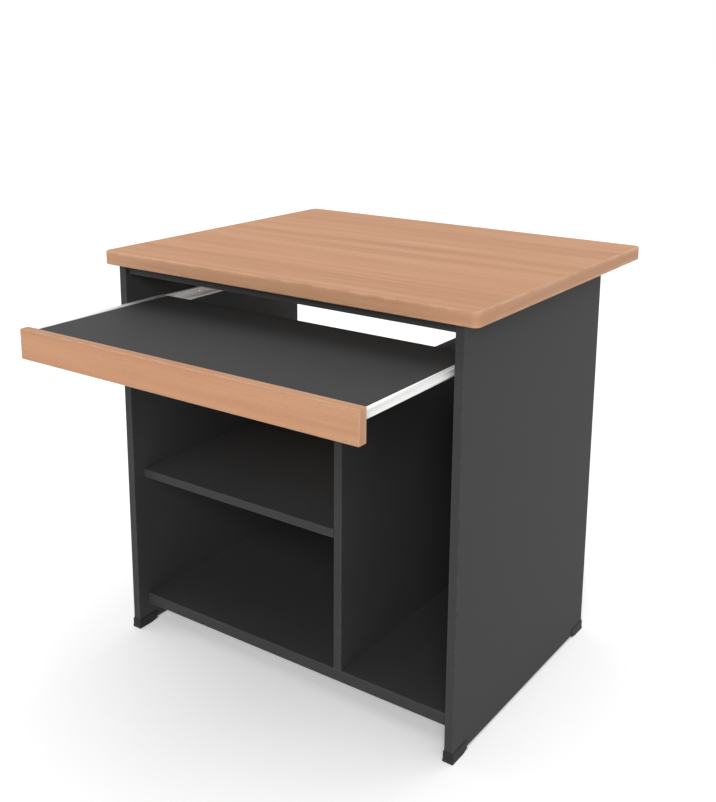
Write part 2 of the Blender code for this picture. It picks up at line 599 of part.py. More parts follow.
def cam_joints():
    """Where boards meet: a name, the cam's board, the bolt's board, a point on the joint, the way into the
    cam's board, and the way out of the cam's open face."""
    joints = []
    for side, sign in (("left", -1), ("right", 1)):
        inward = Vector((-sign, 0, 0))
        x = sign * HALF_INNER
        shelf_z = FLOOR_GAP + BOLT_DEPTH
        back_y = BACK_FACE + BOARD / 2
        panel_x = sign * (HALF_INNER + BOARD / 2)
        for end, y in (("front", SHELF_FRONT + CAM_INSET), ("rear", SHELF_REAR - CAM_INSET)):
            joints.append((f"shelf_{end}_{side}", "bottom_shelf", f"side_panel_{side}",
                           Vector((x, y, shelf_z)), inward, Vector((0, 0, -1))))
        for end, z in (("lower", FLOOR_GAP + CAM_INSET), ("upper", BACK_TOP - CAM_INSET)):
            joints.append((f"back_{end}_{side}", "back_panel", f"side_panel_{side}",
                           Vector((x, back_y, z)), inward, Vector((0, 1, 0))))
        for end, y in (("front", FRONT + CAM_INSET), ("rear", REAR - CAM_INSET)):
            joints.append((f"top_{end}_{side}", f"side_panel_{side}", "desk_top",
                           Vector((panel_x, y, TOP_UNDER)), Vector((0, 0, -1)), inward))
    return joints


def add_cam_fittings(boards):
    """Twelve cams and bolts, with their bores in the boards that they join."""
    cam, bolt = cam_mesh(), bolt_mesh()
    cam_bores, bolt_bores = {}, {}
    cam_bore = bore_profile(CAM_RADIUS + SEAT_GAP, CAM_HEIGHT + 2 * SEAT_GAP)
    bolt_bore = bore_profile(BOLT_BORE_RADIUS, CAM_EDGE)
    thread_bore = bore_profile(BOLT_THREAD_RADIUS + SEAT_GAP, BOLT_THREAD + SEAT_GAP)
    for name, cam_board, thread_board, point, along, face in cam_joints():
        centre = point + along * CAM_EDGE
        surface = centre + face * BOLT_DEPTH
        basis = Matrix((face, (-along).cross(face), -along)).transposed().to_4x4()
        place = Matrix.Translation(surface - face * SEAT_GAP) @ basis
        add_piece(f"cam_{name}", cam, "cast_zinc", place)
        add_piece(f"cam_bolt_{name}", bolt, "bright_steel", aim(point, along))
        cam_bores.setdefault(cam_board, []).append((aim(surface, -face), cam_bore))
        bolt_bores.setdefault(cam_board, []).append((aim(point, along), bolt_bore))
        cam_bores.setdefault(thread_board, []).append((aim(point, -along), thread_bore))
    for board, bores in cam_bores.items():
        combine(boards[board], add_drill(f"{board}_cam_bores", bores))
    for board, bores in bolt_bores.items():
        combine(boards[board], add_drill(f"{board}_bolt_bores", bores))


def screw_profile(gap):
    """A connecting screw along X from its head's face, or its bore where a gap is given."""
    shank_end = BOARD + SEAT_GAP
    end = shank_end + SCREW_REACH + gap
    head = [(-OVERCUT, 0), (-OVERCUT, SCREW_HEAD_RADIUS + gap)] if gap else [(0, 0)]
    tip = [(end, SCREW_THREAD_RADIUS + gap)] if gap else [(end - SCREW_TIP, SCREW_THREAD_RADIUS)]
    return head + [(gap, SCREW_HEAD_RADIUS + gap), (SCREW_HEAD + gap, SCREW_SHANK_RADIUS + gap),
                   (shank_end + gap, SCREW_SHANK_RADIUS + gap),
                   (shank_end + gap, SCREW_THREAD_RADIUS + gap)] + tip + [(end, 0)]


def add_divider_screws(boards):
    """Screws up through the bottom shelf and forward through the back panel into the divider."""
    corner_radius = SCREW_SOCKET / 2 / math.cos(math.pi / 6)
    socket = turned(bore_profile(corner_radius, SCREW_SOCKET_DEPTH), 6)
    screw = finished_mesh("divider_screw", turned(screw_profile(0), BORE_SIDES), [socket])
    round_off(screw)
    x = (DIVIDER_LEFT + DIVIDER_RIGHT) / 2
    places = {
        "bottom_front": ("bottom_shelf", (x, SHELF_FRONT + SCREW_INSET, FLOOR_GAP), (0, 0, 1)),
        "bottom_rear": ("bottom_shelf", (x, SHELF_REAR - SCREW_INSET, FLOOR_GAP), (0, 0, 1)),
        "back_lower": ("back_panel", (x, REAR, BOTTOM_SHELF_TOP + SCREW_INSET), (0, -1, 0)),
        "back_upper": ("back_panel", (x, REAR, BACK_TOP - SCREW_INSET), (0, -1, 0)),
    }
    for name, (board, point, direction) in places.items():
        place = aim(Vector(point) + Vector(direction) * SEAT_GAP, direction)
        add_piece(f"divider_screw_{name}", screw, "bright_steel", place)
        drill = add_drill(f"screw_bore_{name}", [(place, screw_profile(SEAT_GAP))])
        combine(boards[board], drill)
        combine(boards["divider"], drill)


def add_shelf_supports(boards):
    """Steel supports under the middle shelf, two in the left panel and two in the divider."""
    leg, top = SEAT_GAP + SUPPORT_LEG, -SEAT_GAP
    outline = [(SEAT_GAP, top), (SUPPORT_REACH, top), (SUPPORT_REACH, top - SUPPORT_LEG),
               (leg, top - SUPPORT_LEG), (leg, top - SUPPORT_DROP), (SEAT_GAP, top - SUPPORT_DROP)]
    bracket = extruded(outline, SUPPORT_WIDTH)
    bracket.transform(Matrix.Translation((0, -SUPPORT_WIDTH / 2, 0)))
    stem_z = top - (SUPPORT_LEG + SUPPORT_DROP) / 2
    stem_end = SEAT_GAP + SUPPORT_LEG / 2
    radius = SUPPORT_STEM_RADIUS
    stem_profile = [(-SUPPORT_STEM, 0), (-SUPPORT_STEM, radius), (stem_end, radius), (stem_end, 0)]
    stem = turned(stem_profile, BORE_SIDES)
    stem.transform(Matrix.Translation((0, 0, stem_z)))
    support = finished_mesh("shelf_support", bracket, [stem], "UNION")
    round_off(support)
    stem_bore = bore_profile(SUPPORT_STEM_RADIUS + SEAT_GAP, SUPPORT_STEM + SEAT_GAP)
    for side, board, x, inward in (("left", "side_panel_left", -HALF_INNER, 1),
                                   ("right", "divider", DIVIDER_LEFT, -1)):
        bores = []
        for end, y in (("front", SHELF_FRONT + SUPPORT_INSET), ("rear", SHELF_REAR - SUPPORT_INSET)):
            place = aim((x, y, MIDDLE_SHELF_UNDER), (inward, 0, 0))
            add_piece(f"shelf_support_{end}_{side}", support, "bright_steel", place)
            bores.append((aim((x, y, MIDDLE_SHELF_UNDER + stem_z), (-inward, 0, 0)), stem_bore))
        combine(boards[board], add_drill(f"support_bores_{side}", bores))


def build_desk():
    for item in list(bpy.data.objects):
        bpy.data.objects.remove(item, do_unlink=True)
    boards = add_carcass()
    boards["desk_top"] = add_top()
    add_foot_caps()
    carriage = add_tray()
    add_slides(carriage)
    add_cam_fittings(boards)
    add_divider_screws(boards)
    add_shelf_supports(boards)
    bpy.context.view_layer.update()


build_desk()
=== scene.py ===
"""Finished looks of the computer desk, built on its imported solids.

Metres, in the solids' own frame: +Z up, the front and the keyboard tray towards -Y, X across the desk.
The tray rests pulled out. Left and right are as seen by someone sitting at the desk.
"""
import math

import bmesh
import bpy
from mathutils import Matrix, Vector


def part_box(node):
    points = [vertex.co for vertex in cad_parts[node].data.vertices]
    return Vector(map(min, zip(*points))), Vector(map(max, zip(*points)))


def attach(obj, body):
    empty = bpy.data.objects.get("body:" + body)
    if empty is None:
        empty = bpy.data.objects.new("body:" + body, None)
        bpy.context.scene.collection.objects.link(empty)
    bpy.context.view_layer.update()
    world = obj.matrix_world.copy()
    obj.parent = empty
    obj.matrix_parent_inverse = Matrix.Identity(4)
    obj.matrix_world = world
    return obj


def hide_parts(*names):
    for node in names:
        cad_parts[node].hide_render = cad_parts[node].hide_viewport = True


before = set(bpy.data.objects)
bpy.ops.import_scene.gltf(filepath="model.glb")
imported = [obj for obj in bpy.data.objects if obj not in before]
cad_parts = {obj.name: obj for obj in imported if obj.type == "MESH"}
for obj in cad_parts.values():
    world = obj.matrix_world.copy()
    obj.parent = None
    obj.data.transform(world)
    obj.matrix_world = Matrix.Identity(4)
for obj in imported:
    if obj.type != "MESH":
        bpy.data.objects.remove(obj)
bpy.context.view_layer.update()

# Picture
FRAME_HEIGHT = 802          # pixels, the longer side, which takes the sensor's width
FOCAL_PIXELS = 1077.1
AXIS_ROW = 285              # picture row that the lens axis meets
SENSOR_WIDTH = 36.0         # millimetres
CAMERA_PLACE = (1.0907, -1.5169, 1.1246)
CAMERA_TURN, CAMERA_DIP, CAMERA_ROLL = 34.821, 12.787, 0.408    # degrees

# Light
WHITE = (1, 1, 1, 1)
SKY_LEVEL = 0.28
LAMPS = (                   # name, level, spread in degrees, and where the light comes from
    ("overhead", 1.20, 60, (0.05, -0.05, 1.00)),
    ("front", 1.88, 26, (0.40, -0.79, 0.44)),
    ("back", 0.60, 55, (0.25, 0.85, 0.45)),
    ("left", 0.50, 55, (-0.95, -0.05, 0.40)),
)
FLOOR_REACH = 60            # half the floor's length
FLOOR_DROP = 0.0002         # floor below the soles
FLOOR_TONE = 0.90
FLOOR_LIFT = 0.22           # added where the floor is seen, so that it is white outside the shadow

# Sides and ends of the desk
SIDES = (("left", 1), ("right", -1))    # with the way inwards along X
ENDS = ("front", "rear")

# Boards
ARRIS, ARRIS_SEGMENTS = 0.0010, 4       # rounded arrises of the dark boards
PALE_ARRIS_WIDTH = 0.004          # how far wear runs in from an arris; on the bands a painted highlight runs in with it
EDGING_DEPTH = ARRIS * 1.01             # faces no deeper than this behind the front are edging
TOP_RAIL_SETBACK = 0.007    # rail under the top, behind the side panels' front edges
TOP_RAIL_DEPTH = 0.038

# Bores and covers of the fittings in the boards
BORE_GAP = 0.0003           # clearance between pieces that are fitted together
BORE_START = 4 * BORE_GAP   # cutters of the bores past the face
CAM_BORE_RADIUS, CAM_BORE_SPARE, CAM_BORE_SIDES = 0.0076, 3 * BORE_GAP, 40
SCREW_HEAD_RADIUS, SCREW_SHANK_RADIUS, SCREW_HEAD_DEPTH = 0.0053, 0.0037, 0.0039
SCREW_BORE_DEPTH, SCREW_BORE_SIDES = 0.012, 32
COVER_RADIUS, COVER_THICKNESS, COVER_SIDES = 0.0086, 0.0012, 40
COVER_DISH_RIM, COVER_DISH_FLOOR = 0.60, 0.45   # shares of the cover's radius
COVER_GAP = BORE_GAP / 3

# Top and tray front: radius of their corners, thickness of their bands and radius of the bands' arrises
TOP_CORNER_RADIUS, TOP_BAND, TOP_BAND_ROUND = 0.012, 0.003, 0.0024
STRIP_CORNER_RADIUS, STRIP_BAND, STRIP_BAND_ROUND = 0.0024, 0.002, 0.0010
CORNER_STEPS, BAND_STEPS = 10, 6        # faces round a corner and round an arris
BAND_SEAM = 0.00012         # hairline between a band and the laminate
BAND_INNER_WEAR_AND_HIGHLIGHT = 0.3       # wear and painted highlight on a band's inner arrises, where 1 is full
LAMINATE_ARRIS = 0.00015

# Rollers of the slides
ROLLER_BORE, ROLLER_HUB = 0.0023, 0.0042        # radii
ROLLER_RIM, ROLLER_DISH = 0.0017, 0.0010        # width of the rim and depth of the dish inside it
ROLLER_SOFT = 0.00025       # soft corners of a roller
ROLLER_SIDES = 56
MARK_COUNT, MARK_SIDES = 3, 12          # gate marks in each side of a roller
MARK_RADIUS, MARK_DEPTH = 0.0007, 0.0003

# Screws of the slides, through the upright web of a cabinet rail or the flat ledge of a tray rail
RAIL_SHEET = 0.0012         # thickness of a rail's steel
RAIL_SCREW_MARGIN = 0.042   # from a rail's ends to its first and last screw
RAIL_SCREW_SHARES = (0.0, 0.5, 1.0)     # of the way from the first to the last
LEDGE_SCREW_INSET = 0.0076  # from the inner edge of a tray rail
WEB_SCREW_DIAMETER, WEB_SCREW_HEIGHT = 0.0062, 0.0003
LEDGE_SCREW_DIAMETER, LEDGE_SCREW_HEIGHT = 0.0072, 0.0017

# Head of a slide screw, one unit across, as (height, radius) points, and its cross recess
SCREW_PATTERN_HEIGHT, SCREW_PATTERN_SIDES = 0.25, 24
SCREW_PATTERN = ((0.0, 0.0), (0.0, 0.47), (0.03, 0.50), (0.10, 0.495), (0.19, 0.40), (0.235, 0.26),
                 (SCREW_PATTERN_HEIGHT, 0.0))
RECESS_FLOOR, RECESS_TOP, RECESS_REACH, RECESS_HALF_WIDTH = 0.10, 0.40, 0.26, 0.055
RECESS_ROUND = 0.01

# Feet
FOOT_SOLE, FOOT_STEP = 0.005, 0.0003    # thickness of the sole, and how far it stands out from the walls
FOOT_ROUND, FOOT_WALL_SEGMENTS, FOOT_SOLE_SEGMENTS = 0.0016, 4, 3
FOOT_RAMP, FOOT_RISE = 0.018, 0.004     # slope under a cap's inner end
FOOT_OVERCUT = 0.01         # cutters past the faces that they open
CUTTER_ROUND = BORE_GAP / 2

# Meshes
SHARP_ANGLE, METAL_SHARP_ANGLE = 50, 35     # degrees between faces at which an edge turns sharp
ROUND_PROFILE = 0.5         # a bevel's round section
TURNED_WELD, NODE_WELD = 1e-7, 1e-6     # points nearer than this are merged
SLIVER = 1e-6               # edges and faces no wider than this are taken out
LEVEL_LIMIT = 1e-6          # edges that rise less than this are level

# Sockets of a Mix node that mixes colours
MIX_SHARE, MIX_FIRST, MIX_SECOND, MIX_COLOUR = 0, 6, 7, 2


class Field:
    """A shader socket that takes part in sums: each operator adds a Math node to its finish."""

    def __init__(self, finish, socket):
        self.finish = finish
        self.socket = socket

    def sum(self, operation, *terms):
        """A Math node on fields and numbers."""
        return self.finish.add("Math", {"operation": operation}, dict(enumerate(terms)))

    def __add__(self, other):
        return self.sum("ADD", self, other)

    def __radd__(self, other):
        return self.sum("ADD", other, self)

    def __sub__(self, other):
        return self.sum("SUBTRACT", self, other)

    def __rsub__(self, other):
        return self.sum("SUBTRACT", other, self)

    def __mul__(self, other):
        return self.sum("MULTIPLY", self, other)

    def __rmul__(self, other):
        return self.sum("MULTIPLY", other, self)

    def __pow__(self, other):
        return self.sum("POWER", self, other)

    def between(self, low, high):
        """A smooth step from 0 at low to 1 at high."""
        return self.finish.add("MapRange", {"interpolation_type": "SMOOTHSTEP"},
                               {"Value": self, "From Min": low, "From Max": high})


class Finish:
    """The nodes of a material or a world, which are added one by one and give fields."""

    def __init__(self, owner):
        self.owner = bpy.data.materials.new(owner) if isinstance(owner, str) else owner
        self.owner.use_nodes = True
        self.tree = self.owner.node_tree
        self.tree.nodes.clear()

    def add(self, kind, settings=None, sockets=None, output=0):
        """Adds a node, with its settings first and then the values or links of its sockets."""
        node = self.tree.nodes.new("ShaderNode" + kind)
        for name, value in (settings or {}).items():
            if name == "stops":
                set_stops(node.color_ramp, value)
            else:
                setattr(node, name, value)
        for name, value in (sockets or {}).items():
            if isinstance(value, Field):
                self.tree.links.new(value.socket, node.inputs[name])
            else:
                node.inputs[name].default_value = value
        return Field(self, node.outputs[output]) if node.outputs else None

    def place(self, source="Object"):
        """Coordinates in metres: the desk's own, or a band's map."""
        return self.add("TexCoord", output=source)

    def noise(self, place, cells, detail=2.0, roughness=0.5):
        """Noise with its own number of cells to the metre along each axis."""
        stretched = self.add("Mapping", sockets={"Vector": place, "Scale": cells})
        return self.add("TexNoise", sockets={"Vector": stretched, "Scale": 1.0, "Detail": detail,
                                             "Roughness": roughness})

    def blend(self, share, first, second):
        """Mixes two colours, each a field or linear light."""
        colours = [colour if isinstance(colour, Field) else (*colour, 1.0) for colour in (first, second)]
        return self.add("Mix", {"data_type": "RGBA"},
                        {MIX_SHARE: share, MIX_FIRST: colours[0], MIX_SECOND: colours[1]}, MIX_COLOUR)

    def bump(self, height, distance, strength):
        """A normal from heights, where a height of 1 stands a distance in metres proud."""
        return self.add("Bump", sockets={"Height": height, "Distance": distance, "Strength": strength})

    def attribute(self, name):
        """A number that the mesh stores, or 0 where it stores none."""
        return self.add("Attribute", {"attribute_name": name}, output="Fac")

    def surface(self, **sockets):
        """Ends a material in Principled shading. Gives the material."""
        named = {name.replace("_", " ").replace("Ior", "IOR"): value for name, value in sockets.items()}
        shader = self.add("BsdfPrincipled", sockets=named)
        self.add("OutputMaterial", sockets={"Surface": shader})
        return self.owner


def set_stops(ramp, stops):
    """Sets a colour ramp's stops from (position, colour) pairs."""
    while len(ramp.elements) > 1:
        ramp.elements.remove(ramp.elements[-1])
    for number, (position, colour) in enumerate(stops):
        element = ramp.elements[0] if number == 0 else ramp.elements.new(position)
        element.position = position
        element.color = (*colour, 1.0)


def srgb(red, green, blue):
    """A colour from 0 to 255 display values, as linear light."""
    parts = [value / 255 for value in (red, green, blue)]
    return tuple(part / 12.92 if part <= 0.04045 else ((part + 0.055) / 1.055) ** 2.4 for part in parts)


def wood_figure(finish, place, along):
    """Beech figure along one axis: its tone from 0 dark to 1 light, its pores and its fine lines."""
    def stretched(long_cells, cross_cells):
        return tuple(long_cells if axis == along else cross_cells for axis in range(3))

    sway_width = 0.045
    sway = finish.noise(place, stretched(1.1, 5.0), detail=1.0)
    swung = finish.add("CombineXYZ", sockets={0: sway, 1: sway, 2: sway})
    bent = finish.add("VectorMath", {"operation": "MULTIPLY_ADD"},
                      {0: swung, 1: stretched(0.0, sway_width), 2: place})
    broad = finish.noise(bent, stretched(1.0, 24.0), detail=3.0, roughness=0.55)
    streak = finish.noise(bent, stretched(2.6, 105.0), detail=3.0, roughness=0.6)
    fine = finish.noise(bent, stretched(9.0, 620.0), detail=2.0, roughness=0.6)
    fleck = finish.noise(place, stretched(190.0, 1500.0), detail=1.0).between(0.60, 0.72)
    tone = broad * 0.50 + streak * 0.34 + fine * 0.16
    return tone.between(0.28, 0.72), fleck, fine


def wood_finish(name, source, along, colours):
    """Satin beech print: its figure, warmer patches, pores, and pale wear with a painted highlight on marked
    arrises.
    """
    finish = Finish(name)
    place = finish.place(source)
    dark, middle, light, pore = colours
    warm_beech, worn_highlit_beech = srgb(193, 138, 105), srgb(226, 194, 166)
    tone, fleck, fine = wood_figure(finish, place, along)
    base = finish.add("ValToRGB", {"stops": [(0.0, dark), (0.5, middle), (1.0, light)]}, {"Fac": tone})
    warm = finish.noise(place, (2.2, 3.0, 3.0), detail=1.0).between(0.3, 0.7)
    warmed = finish.blend(warm * 0.30, base, warm_beech)
    flecked = finish.blend(fleck * 0.34, warmed, pore)
    # Marked arrises turn paler in patches: partly wear, partly a painted highlight, as if their round edges
    # caught the light
    arris_patches = finish.noise(place, (30.0, 30.0, 30.0), detail=3.0, roughness=0.6).between(0.30, 0.65)
    pale_arris = finish.attribute("arris") * arris_patches
    arris_paled = finish.blend(pale_arris * 0.20, flecked, worn_highlit_beech)
    roughness = 0.60 + fine * 0.06 + fleck * 0.10 - pale_arris * 0.10
    normal = finish.bump(fine * 0.5 - fleck * 0.8, distance=0.00012, strength=0.35)
    return finish.surface(Base_Color=arris_paled, Roughness=roughness, Specular_Ior_Level=0.18, Normal=normal)


def melamine_finish(name, tone, roughness):
    """Charcoal melamine: a fine pearl grain, faint clouding and paler, smoother arrises."""
    finish = Finish(name)
    place = finish.place()
    darker = tuple(part * 0.86 for part in tone)
    lighter = tuple(part * 1.14 for part in tone)
    rubbed = tuple(min(1.0, part * 2.1 + 0.01) for part in tone)
    cloud = finish.noise(place, (7.0, 7.0, 7.0), detail=3.0, roughness=0.55)
    pearl = finish.noise(place, (620.0, 620.0, 620.0), detail=2.0, roughness=0.6)
    arris_patches = finish.noise(place, (34.0, 34.0, 160.0), detail=3.0, roughness=0.6)
    pale_arris = (finish.attribute("arris") ** 2.5) * arris_patches.between(0.35, 0.70)
    level = 0.86 + cloud * 0.16 + pearl * 0.12
    grey = finish.blend(level.between(0.85, 1.14), darker, lighter)
    arris_paled = finish.blend(pale_arris * 0.45, grey, rubbed)
    rough = roughness + cloud * 0.08 - pale_arris * 0.08
    normal = finish.bump(pearl, distance=0.00010, strength=0.30)
    return finish.surface(Base_Color=arris_paled, Roughness=rough, Specular_Ior_Level=0.15, Normal=normal)


def coated_steel_finish():
    """White coating on sheet steel, with a faint orange peel."""
    finish = Finish("white_coating")
    place = finish.place()
    peel = finish.noise(place, (260.0, 160.0, 260.0), detail=2.0)
    cloud = finish.noise(place, (30.0, 12.0, 30.0), detail=3.0)
    colour = finish.blend(cloud.between(0.35, 0.7), srgb(240, 240, 238), srgb(247, 247, 246))
    normal = finish.bump(peel, distance=0.00008, strength=0.25)
    return finish.surface(Base_Color=colour, Roughness=0.30 + cloud * 0.10, Normal=normal)


def nylon_finish():
    """Moulded off-white nylon, a little cloudy."""
    finish = Finish("roller_nylon")
    place = finish.place()
    cloud = finish.noise(place, (180.0, 180.0, 180.0), detail=2.0)
    grain = finish.noise(place, (1500.0, 900.0, 900.0), detail=2.0)
    colour = finish.blend(cloud, srgb(214, 212, 204), srgb(228, 227, 221))
    normal = finish.bump(grain, distance=0.00004, strength=0.3)
    return finish.surface(Base_Color=colour, Roughness=0.40 + cloud * 0.12, Normal=normal)


def metal_finish(name, dark, light, roughness, cells):
    """Bare or plated metal with a fine grain and faint stains."""
    finish = Finish(name)
    place = finish.place()
    grain = finish.noise(place, cells, detail=3.0, roughness=0.6)
    stain = finish.noise(place, (140.0, 140.0, 140.0), detail=3.0, roughness=0.55)
    colour = finish.blend(stain.between(0.3, 0.7), dark, light)
    rough = roughness + grain * 0.14
    normal = finish.bump(grain, distance=0.00003, strength=0.35)
    return finish.surface(Base_Color=colour, Roughness=rough, Metallic=1.0, Normal=normal)


def moulded_finish(name, dark, light):
    """Moulded black plastic with a fine spark grain, and a trace of dust where it stands on the floor."""
    finish = Finish(name)
    place = finish.place()
    dust_colour, dust_height = srgb(80, 78, 75), 0.012
    grain = finish.noise(place, (1100.0, 1100.0, 1100.0), detail=2.0, roughness=0.6)
    cloud = finish.noise(place, (60.0, 60.0, 60.0), detail=2.0)
    dust = finish.add("SeparateXYZ", sockets={0: place}, output="Z").between(dust_height, 0.0)
    colour = finish.blend(cloud.between(0.3, 0.7), dark, light)
    dusty = finish.blend(dust * cloud * 0.3, colour, dust_colour)
    rough = 0.56 + cloud * 0.12
    normal = finish.bump(grain, distance=0.00010, strength=0.4)
    return finish.surface(Base_Color=dusty, Roughness=rough, Specular_Ior_Level=0.25, Normal=normal)


def new_object(name, data):
    """An object of a mesh, lamp or camera, at the origin."""
    piece = bpy.data.objects.new(name, data)
    bpy.context.scene.collection.objects.link(piece)
    return piece


def mesh_from(name, shape):
    """Turns a bmesh into a mesh with its faces pointing out, and frees it."""
    bmesh.ops.recalc_face_normals(shape, faces=shape.faces)
    if shape.calc_volume(signed=True) < 0:
        bmesh.ops.reverse_faces(shape, faces=shape.faces)
    mesh = bpy.data.meshes.new(name)
    shape.to_mesh(mesh)
    shape.free()
    return mesh


def evaluated_mesh(piece):
    """The mesh of an object with its modifiers applied. The object itself is removed."""
    graph = bpy.context.evaluated_depsgraph_get()
    graph.update()
    mesh = bpy.data.meshes.new_from_object(piece.evaluated_get(graph))
    mesh.name = piece.name
    bpy.data.objects.remove(piece, do_unlink=True)
    return mesh


def without_slivers(mesh, width):
    """Takes out the edges and faces that a cut leaves with next to no width."""
    shape = bmesh.new()
    shape.from_mesh(mesh)
    bmesh.ops.dissolve_degenerate(shape, dist=width, edges=shape.edges)
    shape.to_mesh(mesh)
    shape.free()


def carved(name, shape, tools=(), operation="DIFFERENCE"):
    """A shape cut by others or joined with them. Its large faces shade flat and its arrises round."""
    blank = new_object(name + "_blank", mesh_from(name + "_blank", shape))
    blank.data.shade_smooth()
    cutters = []
    for number, tool in enumerate(tools):
        cutters.append(new_object(f"{name}_tool_{number}", mesh_from(f"{name}_tool_{number}", tool)))
        boolean = blank.modifiers.new(f"tool_{number}", "BOOLEAN")
        boolean.operation = operation
        boolean.solver = "EXACT"
        boolean.object = cutters[-1]
    mesh = evaluated_mesh(blank)
    for cutter in cutters:
        bpy.data.objects.remove(cutter, do_unlink=True)
    without_slivers(mesh, SLIVER)
    mesh.set_sharp_from_angle(angle=math.radians(SHARP_ANGLE))
    blank = new_object(name, mesh)
    weighted = blank.modifiers.new("flat_faces", "WEIGHTED_NORMAL")
    weighted.keep_sharp = True
    return evaluated_mesh(blank)


def settle(name, mesh, finishes, body, stands_for=()):
    """Makes a finished mesh a piece of the desk that moves with a body."""
    mesh.materials.clear()
    for finish in finishes:
        mesh.materials.append(finish)
    piece = new_object(name, mesh)
    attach(piece, body)
    if stands_for:
        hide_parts(*stands_for)


def rounded_box(low, high, radius, segments, margin=0.0):
    """A box with round arrises. A margin draws a second outline that far inside each flat face."""
    low, high = Vector(low), Vector(high)
    shape = bmesh.new()
    size = Matrix.Diagonal((*(high - low), 1.0))
    bmesh.ops.create_cube(shape, size=1.0, matrix=Matrix.Translation((low + high) / 2) @ size)
    flat_count = len(shape.faces)
    bmesh.ops.bevel(shape, geom=shape.edges[:], offset=radius, offset_type="OFFSET", segments=segments,
                    profile=ROUND_PROFILE, affect="EDGES", clamp_overlap=True)
    if margin:
        flats = sorted(shape.faces, key=lambda face: face.calc_area())[-flat_count:]
        bmesh.ops.inset_individual(shape, faces=flats, thickness=margin, use_even_offset=True)
    return shape


def turned(profile, sides, closed=False):
    """Spins a profile of (distance along, radius) points about the X axis."""
    shape = bmesh.new()
    points = [shape.verts.new((along, 0, radius)) for along, radius in profile]
    pairs = list(zip(points, points[1:]))
    if closed:
        pairs.append((points[-1], points[0]))
    edges = [shape.edges.new(pair) for pair in pairs]
    bmesh.ops.spin(shape, geom=points + edges, cent=(0, 0, 0), axis=(1, 0, 0), dvec=(0, 0, 0),
                   angle=2 * math.pi, steps=sides, use_merge=True, use_duplicate=False)
    bmesh.ops.remove_doubles(shape, verts=shape.verts, dist=TURNED_WELD)
    return shape


def aimed(shape, point, direction):
    """Moves a shape so that its X axis runs along a direction from a point."""
    turn = Vector(direction).to_track_quat("X", "Z").to_matrix().to_4x4()
    shape.transform(Matrix.Translation(point) @ turn)
    return shape


def middle_of(node):
    """The middle of a node's box."""
    low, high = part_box(node)
    return (low + high) / 2


def face_point(node, board, out):
    """The point on a board's face, in line with a fitting's middle."""
    low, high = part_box(board)
    point = middle_of(node)
    for axis in range(3):
        if out[axis]:
            point[axis] = high[axis] if out[axis] > 0 else low[axis]
    return point


def cam_bore(cam, board, out):
    """Cutter for the round bore that holds a cam."""
    low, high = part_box(cam)
    depth = sum(abs(size * way) for size, way in zip(high - low, out)) + CAM_BORE_SPARE
    profile = [(-BORE_START, 0), (-BORE_START, CAM_BORE_RADIUS), (depth, CAM_BORE_RADIUS), (depth, 0)]
    return aimed(turned(profile, CAM_BORE_SIDES), face_point(cam, board, out), -Vector(out))


def cam_cover(cam, board, out, finish):
    """A thin moulded disc that hides a cam, with a soft rim and a small dish in its middle."""
    soft = COVER_THICKNESS / 3
    dish = COVER_THICKNESS - soft
    profile = [(0.0, 0.0), (0.0, COVER_RADIUS - soft),
               (soft, COVER_RADIUS), (2 * soft, COVER_RADIUS - soft / 2),
               (COVER_THICKNESS, COVER_RADIUS - 3 * soft), (COVER_THICKNESS, COVER_RADIUS * COVER_DISH_RIM),
               (dish, COVER_RADIUS * COVER_DISH_FLOOR), (dish, 0.0)]
    seat = face_point(cam, board, out) + Vector(out) * COVER_GAP
    mesh = carved(f"{cam}_cover", aimed(turned(profile, COVER_SIDES), seat, out))
    settle(f"{cam}_cover", mesh, [finish], "frame")


def screw_bore(screw, board, out):
    """Cutter for the countersunk bore that holds a connecting screw."""
    profile = [(-BORE_START, 0), (-BORE_START, SCREW_HEAD_RADIUS), (BORE_GAP, SCREW_HEAD_RADIUS),
               (SCREW_HEAD_DEPTH, SCREW_SHANK_RADIUS), (SCREW_BORE_DEPTH, SCREW_SHANK_RADIUS),
               (SCREW_BORE_DEPTH, 0)]
    return aimed(turned(profile, SCREW_BORE_SIDES), face_point(screw, board, out), -Vector(out))


def mark_arrises(mesh, low, high):
    """Stores how near each point of a board is to an arris, for the wear in its finish."""
    marks = mesh.attributes.new("arris", "FLOAT", "POINT")
    for vertex, mark in zip(mesh.vertices, marks.data):
        depths = sorted(min(place - start, end - place) for place, start, end in zip(vertex.co, low, high))
        mark.value = max(0.0, 1.0 - depths[1] / PALE_ARRIS_WIDTH)


def melamine_board(name, low, high, body, finishes, bores=(), stands_for=()):
    """A melamine board with an edging strip on its front and bores for the fittings that show."""
    mesh = carved(name, rounded_box(low, high, ARRIS, ARRIS_SEGMENTS, PALE_ARRIS_WIDTH), bores)
    settle(name, mesh, finishes, body, stands_for)
    edging_limit = low.y + EDGING_DEPTH
    for face in mesh.polygons:
        deepest = max(mesh.vertices[number].co.y for number in face.vertices)
        face.material_index = 1 if deepest <= edging_limit else 0
    mark_arrises(mesh, low, high)


def dark_board(node, body, finishes, bores=()):
    """The melamine board of a solid of the same size."""
    low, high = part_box(node)
    melamine_board(f"{node}_board", low, high, body, finishes, bores, [node])


def top_front_rail(finishes):
    """The flat rail under the top's front, between the side panels. It has no solid of its own."""
    left_low, left_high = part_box("side_panel_left")
    right_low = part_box("side_panel_right")[0]
    thickness = left_high.x - left_low.x
    front = left_low.y + TOP_RAIL_SETBACK
    low = Vector((left_high.x + BORE_GAP, front, left_high.z - thickness))
    high = Vector((right_low.x - BORE_GAP, front + TOP_RAIL_DEPTH, left_high.z))
    melamine_board("top_front_rail", low, high, "frame", finishes)


